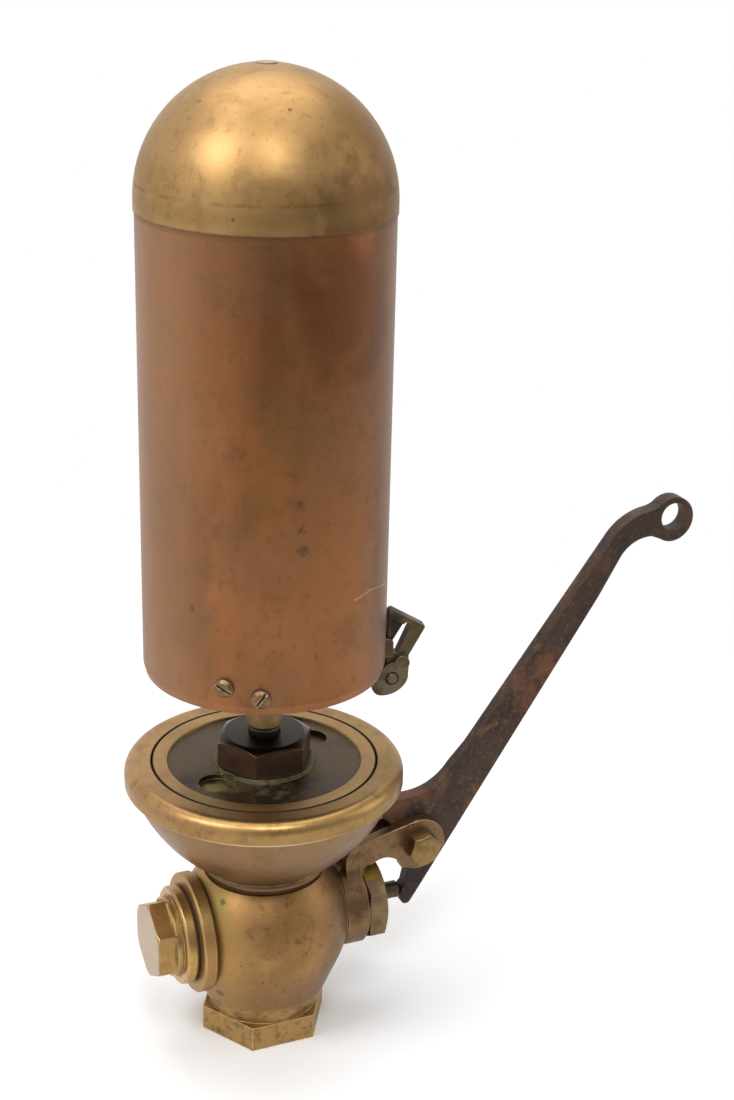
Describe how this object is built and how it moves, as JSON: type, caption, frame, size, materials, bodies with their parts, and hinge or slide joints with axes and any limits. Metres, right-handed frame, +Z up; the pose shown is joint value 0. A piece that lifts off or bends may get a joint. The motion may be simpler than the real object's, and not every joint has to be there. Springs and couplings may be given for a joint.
{
  "type": "steam whistle",
  "caption": "Upright steam whistle: domed tube bell on a stem over a round cup and languid plate, globe valve body with hexagon inlet, side cap and an iron lever in a forked bracket.",
  "frame": {"origin": "centre of the pipe inlet at the hexagon's lower face", "axes": "+Z up along the whistle's axis, +X towards the lever, Y along the lever's pivot"},
  "size_m": [0.2323, 0.105, 0.3702],
  "materials": {
    "body_brass": "worn, brown patina",
    "seat_bronze": "turned",
    "rod_brass": "dull",
    "spring_wire": "dull",
    "cap_brass": "worn",
    "gasket": "matt",
    "bonnet_brass": "dull",
    "bracket_bronze": "brown patina",
    "rusty_iron": "rust",
    "bolt_brass": "worn",
    "cup_brass": "worn golden rim",
    "plate_dark": "dark patina, green traces",
    "nut_bronze": "dark",
    "stem_brass": "bright",
    "tube_copper": "satin copper brown",
    "crown_brass": "satin golden",
    "screw_brass": "dull",
    "loop_bronze": "dark olive"
  },
  "bodies": {
    "valve": {"valve_body": "body_brass", "seat_ring": "seat_bronze", "valve_spring": "spring_wire", "valve_cap": "cap_brass", "cap_gasket": "gasket", "bonnet": "bonnet_brass", "lever_bracket": "bracket_bronze", "pivot_bolt": "bolt_brass", "pivot_washer": "bolt_brass", "pivot_nut": "bolt_brass", "cup": "cup_brass", "languid_plate": "plate_dark", "plate_nut": "nut_bronze", "bell_stem": "stem_brass", "bell_tube": "tube_copper", "bell_crown": "crown_brass", "bell_screws": "screw_brass", "loop_lug": "loop_bronze", "loop_pin": "loop_bronze"},
    "lever_arm": {"lever": "rusty_iron"},
    "valve_rod": {"valve_stem": "rod_brass", "valve_disc": "seat_bronze", "disc_nut": "rod_brass"},
    "loop": {"slotted_loop": "loop_bronze"}
  },
  "joints": [
    {"name": "lever_pivot", "type": "hinge", "parent": "valve", "child": "lever_arm", "pos_m": [0.0627, 0, 0.0679], "axis": [0, 1, 0], "range_deg": [0, 8], "stiffness_Nm_per_rad": 1.2, "springref_deg": -9.17},
    {"name": "valve_lift", "type": "slide", "parent": "valve", "child": "valve_rod", "axis": [-1, 0, 0], "range_m": [0, 0.0035], "deforming": ["valve_spring"]},
    {"name": "loop_hinge", "type": "hinge", "parent": "valve", "child": "loop", "pos_m": [0.04693, -0.00878, 0.1446], "axis": [0.184, 0.9829, 0], "range_deg": [0, 105]}
  ],
  "couplings": [
    {"joint": "valve_lift", "follows": "lever_pivot", "m_per_rad": 0.0246}
  ]
}
